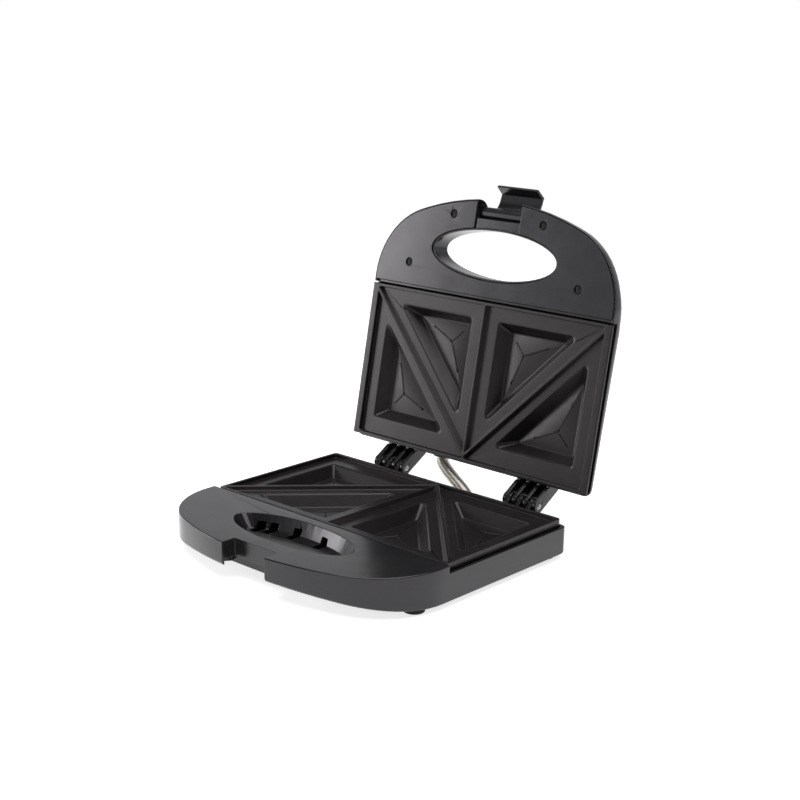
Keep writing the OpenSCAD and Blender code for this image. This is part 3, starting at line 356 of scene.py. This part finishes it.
# ---- moulded and cast pieces with rounded edges ------------------------------------------------

MERGE_DISTANCE = 0.004
SHARP_ANGLE = math.radians(30)
POCKET_EDGE_WEIGHT, OTHER_EDGE_WEIGHT = 1.0, 0.45

# Corner of the right angle of each pocket, and its two legs from there
POCKETS = (((13, 13), (71.6, 75.5)), ((96.5, 104.1), (-72.1, -76.1)))
POCKET_SLACK, SLANT_SLACK = 0.5, 1.02
POCKET_TOP_Z = -3.3


def in_pocket(p):
    """Whether a point in plate coordinates is on the edge or the walls of a pocket."""
    for (corner_x, corner_y), (leg_x, leg_y) in POCKETS:
        x, y = (abs(p.x) - corner_x) / leg_x, (p.y - corner_y) / leg_y
        if x * abs(leg_x) > -POCKET_SLACK and y * abs(leg_y) > -POCKET_SLACK and x + y < SLANT_SLACK:
            return p.z < POCKET_TOP_Z
    return False


def weigh_edges(bm, plate):
    """Full rounding for the edges of a plate's pockets, and less for its other edges."""
    layer = bm.edges.layers.float.new("bevel_weight_edge")
    to_plate = plate.inverted()
    for edge in bm.edges:
        if len(edge.link_faces) == 2 and edge.calc_face_angle(0) > SHARP_ANGLE:
            pocket = all(in_pocket(to_plate @ (v.co / MM)) for v in edge.verts)
            edge[layer] = POCKET_EDGE_WEIGHT if pocket else OTHER_EDGE_WEIGHT


def smooth_copy(node, plate=None):
    """The mesh of a CAD node, joined at its seams and shaded smooth, with weighted edges on a plate."""
    bm = bmesh.new()
    bm.from_mesh(NODES[node].data)
    bmesh.ops.remove_doubles(bm, verts=bm.verts, dist=MERGE_DISTANCE * MM)
    for face in bm.faces:
        face.smooth = True
    if plate:
        weigh_edges(bm, plate)
    mesh = NODES[node].data.copy()
    bm.to_mesh(mesh)
    bm.free()
    for name in ("custom_normal", "sharp_edge"):
        if name in mesh.attributes:
            mesh.attributes.remove(mesh.attributes[name])
    return mesh


def dress(node, radius, segments=2, plate=None):
    """A copy of a CAD node with rounded edges, in its place."""
    obj = add_object(node + "_dressed", smooth_copy(node, plate), SLOT_OF[node])
    rounding = obj.modifiers.new("rounding", "BEVEL")
    rounding.width = radius * MM
    rounding.segments = segments
    rounding.limit_method = "WEIGHT" if plate else "ANGLE"
    rounding.angle_limit = SHARP_ANGLE
    rounding.use_clamp_overlap = False
    rounding.miter_outer = "MITER_ARC"
    obj.modifiers.new("weighted", "WEIGHTED_NORMAL").keep_sharp = True
    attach(obj, NODES[node]["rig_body"])
    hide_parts(node)
    return obj


# ---- vents of the finger recess ----------------------------------------------------------------

RECESS_Y, RECESS_FLOOR_Z = -75.5, 19.0
RECESS_RX, RECESS_RY = 47.5, 16.0
VENT_X = (-41.5, -32.5, -13.1, 13.1)
VENT_HALF_W, VENT_H, VENT_BELOW = 3.2, 4.2, 5.0
VENT_IN, VENT_OUT = 7.8, 6.0


def wall_vents():
    """Openings at the foot of the back wall of the recess, which is an ellipse seen from above."""
    bm = bmesh.new()
    for x in VENT_X:
        wall_y = RECESS_Y + RECESS_RY * math.sqrt(1 - (x / RECESS_RX) ** 2)
        add_block(bm, (x - VENT_HALF_W, wall_y - VENT_IN, RECESS_FLOOR_Z - VENT_BELOW),
                  (x + VENT_HALF_W, wall_y + VENT_OUT, RECESS_FLOOR_Z + VENT_H))
    return bm


cut(dress("base_shell", 0.4), wall_vents())
dress("lid_shell", 0.4)
dress("handle_cover", 0.3)
dress("lower_plate", 1.3, segments=4, plate=LOWER_PLATE)
dress("upper_plate", 1.3, segments=4, plate=UPPER_PLATE)
dress("latch", 0.4, segments=3)
dress("bottom_cover", 0.3)
dress("feet", 0.5, segments=3)
dress("cord_inlet", 0.3)
dress("hinge_pins", 0.4)


# ---- ribs on the pocket floors -----------------------------------------------------------------

# Peak of the low rise on each pocket floor, and the feet of its three edges
RISES = (((34.5, 34.5), ((19, 19), (70.6, 19), (19, 73.4))),
         ((74.8, 82.4), ((90.5, 43.1), (90.5, 98.1), (38.3, 98.1))))
PEAK_Z, FOOT_Z = -10.3, -12.6
RIB_HALF_W, RIB_H, RIB_SUNK = 0.7, 0.32, 0.06
# Across a rib: shares of its half width and of its height
RIB_SECTION = ((-1, 0), (-0.6, 0.45), (-0.2, 0.95), (0.2, 0.95), (0.6, 0.45), (1, 0))
# Along a rib: shares of the way from peak to foot
RIB_STEPS = (0.0, 0.08, 0.2, 0.35, 0.48, 0.58)
RIB_END, RIB_FADE = 0.6, 0.15


def add_rib(bm, peak, foot, place):
    """A fine rounded rib down one edge of a rise, fading out before its foot."""
    run = foot - peak
    side = Vector((-run.y, run.x, 0)).normalized()
    rows = []
    for t in RIB_STEPS:
        middle = peak + run * t
        height = RIB_H * min(1.0, (RIB_END - t) / RIB_FADE)
        section = [(side * RIB_HALF_W * u, Vector((0, 0, height * v - RIB_SUNK))) for u, v in RIB_SECTION]
        rows.append([bm.verts.new(place @ (middle + aside + rise)) for aside, rise in section])
    last = len(RIB_SECTION) - 1
    for a, b in zip(rows, rows[1:]):
        for k in range(last + 1):
            bm.faces.new((a[k], a[k - last], b[k - last], b[k])).smooth = k < last
    bm.faces.new(rows[0])
    bm.faces.new(rows[-1])


def creases(name, body, plate):
    """The ribs in a Y on the four pocket floors of a plate."""
    bm = bmesh.new()
    for side in (-1, 1):
        for (peak_x, peak_y), feet in RISES:
            peak = Vector((side * peak_x, peak_y, PEAK_Z))
            for foot_x, foot_y in feet:
                add_rib(bm, peak, Vector((side * foot_x, foot_y, FOOT_Z)), plate)
    bmesh.ops.recalc_face_normals(bm, faces=bm.faces)
    in_metres(bm)
    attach(add_object(name, mesh_of(name, bm), "nonstick"), body)


creases("lower_plate_creases", "base", LOWER_PLATE)
creases("upper_plate_creases", "lid", UPPER_PLATE)


# ---- screws of the handle cover ----------------------------------------------------------------
# Heights grow from the open face of the lid inwards, so a head's top has the lowest height.

COVER_SCREWS = ((42.0, -61), (80, -20))
HEAD_TOP, HEAD_FOOT, HEAD_R = 1.1, 2.0, 2.8
HEAD_DOME = ((0, 0), (1.6, 0.05), (2.3, 0.2), (2.68, 0.45))
SHANK_R, SHANK_END, TIP = 1.3, 10.1, 0.8
CROSS_HALF_L, CROSS_HALF_W, CROSS_DEPTH, CROSS_ABOVE = 1.75, 0.36, 0.7, 0.5
CROSS_TURNS = (20, 110)


def add_turned(bm, profile, place, sides=32):
    """A turned solid round Z, from (radius, height) points that start and end on the axis."""
    rings = []
    for r, z in profile:
        ring = circle(r, sides) if r else [(0, 0)]
        rings.append([bm.verts.new(place @ Vector((x, y, z))) for x, y in ring])
    for a, b in zip(rings, rings[1:]):
        for k in range(sides):
            quad = [a[k % len(a)], a[(k + 1) % len(a)], b[(k + 1) % len(b)], b[k % len(b)]]
            bm.faces.new(list(dict.fromkeys(quad)))


def cover_screws():
    """Dark pan-head screws with a cross recess, sunk in the handle cover, each turned differently."""
    screws, crosses = bmesh.new(), bmesh.new()
    dome = [(r, HEAD_TOP + z) for r, z in HEAD_DOME]
    shank = [(HEAD_R, HEAD_FOOT), (SHANK_R, HEAD_FOOT), (SHANK_R, SHANK_END), (0, SHANK_END + TIP)]
    for side in (-1, 1):
        for x, y in COVER_SCREWS:
            place = LID @ Matrix.Translation((side * x, y, 0))
            add_turned(screws, dome + shank, place)
            for turn in CROSS_TURNS:
                add_block(crosses, (-CROSS_HALF_L, -CROSS_HALF_W, HEAD_TOP - CROSS_ABOVE),
                          (CROSS_HALF_L, CROSS_HALF_W, HEAD_TOP + CROSS_DEPTH),
                          place @ Matrix.Rotation(math.radians(turn + side * x), 4, "Z"))
    bmesh.ops.recalc_face_normals(screws, faces=screws.faces)
    in_metres(screws)
    obj = add_object("handle_cover_screws_dressed", mesh_of("cover_screws", screws), "screw_steel")
    cut(obj, crosses)
    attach(obj, "lid")
    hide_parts("handle_cover_screws")


cover_screws()


# ---- wire conduit ------------------------------------------------------------------------------

CONDUIT_D, CONDUIT_WIRE = 9.6, 1.0
TURN_SPACING = 1.22
POINTS_PER_TURN, CONDUIT_SIDES = 18, 8
SLEEVE_R, SLEEVE_SPACING = 0.9, 2.1
SLEEVE_POINTS, SLEEVE_SIDES = 50, 12
BASE_MOUTH, LID_MOUTH = Vector((20, 76.5, 14)), Vector((-28, 107.1, 35.3))
BASE_OUT = Vector((0, 1, 0))
LID_OUT = Vector((0, math.cos(OPEN_ANGLE), -math.sin(OPEN_ANGLE)))
# How far the curve's handles reach out of the two mouths, and how far its ends go into them
BASE_HANDLE, LID_HANDLE = 21, 12
BASE_HIDDEN, LID_HIDDEN = 2.2, 3.0
ROUTE_STEPS = 120
# A direction that the route never takes
SIDEWAYS = Vector((1, 0.2, 0.1))


def conduit_route():
    """Points along the middle of the conduit, with the straight ends inside the casings."""
    a, d = BASE_MOUTH, LID_MOUTH
    b, c = a + BASE_OUT * BASE_HANDLE, d + LID_OUT * LID_HANDLE
    bend = [a * (1 - t) ** 3 + b * 3 * (1 - t) ** 2 * t + c * 3 * (1 - t) * t * t + d * t ** 3
            for t in (i / ROUTE_STEPS for i in range(ROUTE_STEPS + 1))]
    return [a - BASE_OUT * BASE_HIDDEN] + bend + [d - LID_OUT * LID_HIDDEN]


def distances(line):
    """How far along a line each of its points is."""
    result = [0.0]
    for p, q in zip(line, line[1:]):
        result.append(result[-1] + (q - p).length)
    return result


def resample(line, count):
    """The same line with count points at equal steps."""
    along = distances(line)
    result, k = [], 0
    for i in range(count):
        distance = along[-1] * i / (count - 1)
        while k < len(line) - 2 and along[k + 1] < distance:
            k += 1
        result.append(line[k].lerp(line[k + 1], (distance - along[k]) / (along[k + 1] - along[k])))
    return result


def direction(line, i):
    """Which way a line runs at its point i."""
    return (line[min(i + 1, len(line) - 1)] - line[max(i - 1, 0)]).normalized()


def across(line):
    """Each point of a line, with two directions across it."""
    for i, p in enumerate(line):
        ahead = direction(line, i)
        a = ahead.cross(SIDEWAYS).normalized()
        yield p, a, ahead.cross(a)


def sweep(bm, line, radius, sides, outward=None):
    """A closed tube along a line, with its first side towards outward where that is given."""
    rings = []
    for i, p in enumerate(line):
        ahead = direction(line, i)
        a = outward[i] if outward else ahead.cross(SIDEWAYS)
        a = (a - ahead * a.dot(ahead)).normalized()
        b = ahead.cross(a)
        rings.append([bm.verts.new(p + u * a + v * b) for u, v in circle(radius, sides)])
    for r, q in zip(rings, rings[1:]):
        for k in range(sides):
            bm.faces.new((r[k], r[(k + 1) % sides], q[(k + 1) % sides], q[k])).smooth = True
    bm.faces.new(rings[0][::-1])
    bm.faces.new(rings[-1])


def across_joint(node, bm):
    """A curved piece between base and lid, in place of a CAD node."""
    in_metres(bm)
    obj = add_object(node + "_dressed", mesh_of(node + "_dressed", bm), SLOT_OF[node])
    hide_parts(node)
    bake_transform(obj)


def conduit_spring():
    """The close-wound wire, as one helix round the route."""
    turns = int(distances(conduit_route())[-1] / (CONDUIT_WIRE * TURN_SPACING))
    radius = (CONDUIT_D - CONDUIT_WIRE) / 2
    line, outward = [], []
    for i, (p, a, b) in enumerate(across(resample(conduit_route(), turns * POINTS_PER_TURN + 1))):
        turn = 2 * math.pi * i / POINTS_PER_TURN
        out = math.cos(turn) * a + math.sin(turn) * b
        line.append(p + out * radius)
        outward.append(out)
    bm = bmesh.new()
    sweep(bm, line, CONDUIT_WIRE / 2, CONDUIT_SIDES, outward)
    across_joint("conduit_spring", bm)


def conduit_wires():
    """Three sleeved wires side by side in the conduit."""
    bm = bmesh.new()
    for side in (-1, 0, 1):
        line = [p + a * side * SLEEVE_SPACING for p, a, b in across(resample(conduit_route(), SLEEVE_POINTS))]
        sweep(bm, line, SLEEVE_R, SLEEVE_SIDES)
    across_joint("conduit_wires", bm)


conduit_spring()
conduit_wires()


# ---- floor and light, in metres ----------------------------------------------------------------

FLOOR_HALF_W, FLOOR_Z = 1.1, -0.0002
FLOOR_GLOW = 0.75
# The wall ends and the ceiling starts at these heights on a dome of radius 1 round the scene
WALL_TO, CEILING_FROM = 0.3, 0.65
WALL, CEILING = (0.8, 0.8, 0.816), (0.08, 0.08, 0.0816)
# Towards one side of the dome, the light falls to this level between these two distances
DIM_SIDE, DIM_LEVEL = (0.8, -0.6, 0), 0.3
DIM_FROM, DIM_TO = -0.1, 0.7


def floor():
    """A pale floor that stays pale in the picture and in reflections, and keeps the object's shadow."""
    w = FLOOR_HALF_W
    mesh = bpy.data.meshes.new("floor")
    mesh.from_pydata([(-w, -w, 0), (w, -w, 0), (w, w, 0), (-w, w, 0)], [], [(0, 1, 2, 3)])
    obj = bpy.data.objects.new("floor", mesh)
    bpy.context.scene.collection.objects.link(obj)
    obj.location.z = FLOOR_Z
    surface = Surface("pale_floor")
    surface.give("Base Color", surface.ramp(surface.noise(scale=3, detail=3), (0.3, 0.78), (0.7, 0.82)))
    surface.give("Roughness", 0.9)
    surface.give("Specular IOR Level", 0.0)
    glow = surface.add("Emission")
    seen = surface.seen_by("Is Camera Ray", "Is Glossy Ray", "Is Transmission Ray")
    surface.feed(glow.inputs["Strength"], surface.math("MULTIPLY", seen, FLOOR_GLOW))
    both = surface.add("AddShader")
    surface.feed(both.inputs[0], surface.shader.outputs[0])
    surface.feed(both.inputs[1], glow.outputs[0])
    surface.feed(surface.output, both.outputs[0])
    mesh.materials.append(surface.material)


def world():
    """White to the camera and through glass; otherwise a pale wall, dim on one side, and a dim ceiling."""
    studio = bpy.data.worlds.new("studio")
    bpy.context.scene.world = studio
    tree = Tree(studio)
    toward = tree.add("TexCoord").outputs["Generated"]
    height = tree.add("SeparateXYZ")
    tree.feed(height.inputs[0], toward)
    dim = tree.add("VectorMath", operation="DOT_PRODUCT")
    tree.feed(dim.inputs[0], toward)
    tree.feed(dim.inputs[1], DIM_SIDE)
    level = tree.add("MapRange")
    for name, value in (("Value", dim.outputs["Value"]), ("From Min", DIM_FROM), ("From Max", DIM_TO),
                        ("To Min", 1.0), ("To Max", DIM_LEVEL)):
        tree.feed(level.inputs[name], value)
    soft = tree.add("Background")
    tree.feed(soft.inputs["Color"], tree.ramp(height.outputs["Z"], (WALL_TO, WALL), (CEILING_FROM, CEILING)))
    tree.feed(soft.inputs["Strength"], level.outputs[0])
    white = tree.add("Background")
    tree.feed(white.inputs["Color"], (1, 1, 1))
    mix = tree.add("MixShader")
    tree.feed(mix.inputs[0], tree.seen_by("Is Camera Ray", "Is Transmission Ray"))
    tree.feed(mix.inputs[1], soft.outputs[0])
    tree.feed(mix.inputs[2], white.outputs[0])
    tree.feed(tree.add("OutputWorld").inputs["Surface"], mix.outputs[0])


def softbox(name, place, target, size, power):
    """A soft rectangular lamp that points at a target."""
    data = bpy.data.lights.new(name, "AREA")
    data.shape = "RECTANGLE"
    data.size, data.size_y = size
    data.energy = power
    obj = bpy.data.objects.new(name, data)
    bpy.context.scene.collection.objects.link(obj)
    obj.location = place
    obj.rotation_euler = (Vector(target) - Vector(place)).to_track_quat("-Z", "Y").to_euler()


floor()
world()
softbox("key", place=(-1.45, -0.92, 0.35), target=(0, 0, 0.12), size=(0.7, 0.8), power=10)
softbox("top", place=(0.1, -0.1, 1.5), target=(0, 0.05, 0.05), size=(1.7, 1.5), power=24)


# ---- camera ------------------------------------------------------------------------------------

EYE = (0.6835, -0.7129, 0.3706)
AZIMUTH, ELEVATION, ROLL = (math.radians(v) for v in (42.685, 15.009, 0.668))
SENSOR_MM, LENS_MM = 36, 66.8115
NEAREST, FURTHEST = 0.05, 30


def camera():
    """The photograph's view, from a fit to the corners of both plates."""
    ahead = Vector((-math.sin(AZIMUTH) * math.cos(ELEVATION), math.cos(AZIMUTH) * math.cos(ELEVATION),
                    -math.sin(ELEVATION)))
    level = Vector((math.cos(AZIMUTH), math.sin(AZIMUTH), 0))
    upright = level.cross(ahead)
    right = math.cos(ROLL) * level + math.sin(ROLL) * upright
    up = math.cos(ROLL) * upright - math.sin(ROLL) * level
    data = bpy.data.cameras.new("camera")
    data.sensor_width = SENSOR_MM
    data.lens = LENS_MM
    data.clip_start, data.clip_end = NEAREST, FURTHEST
    obj = bpy.data.objects.new("camera", data)
    bpy.context.scene.collection.objects.link(obj)
    obj.matrix_world = Matrix.Translation(EYE) @ Matrix((right, up, -ahead)).transposed().to_4x4()
    bpy.context.scene.camera = obj


camera()
bpy.context.scene.view_settings.view_transform = "Standard"
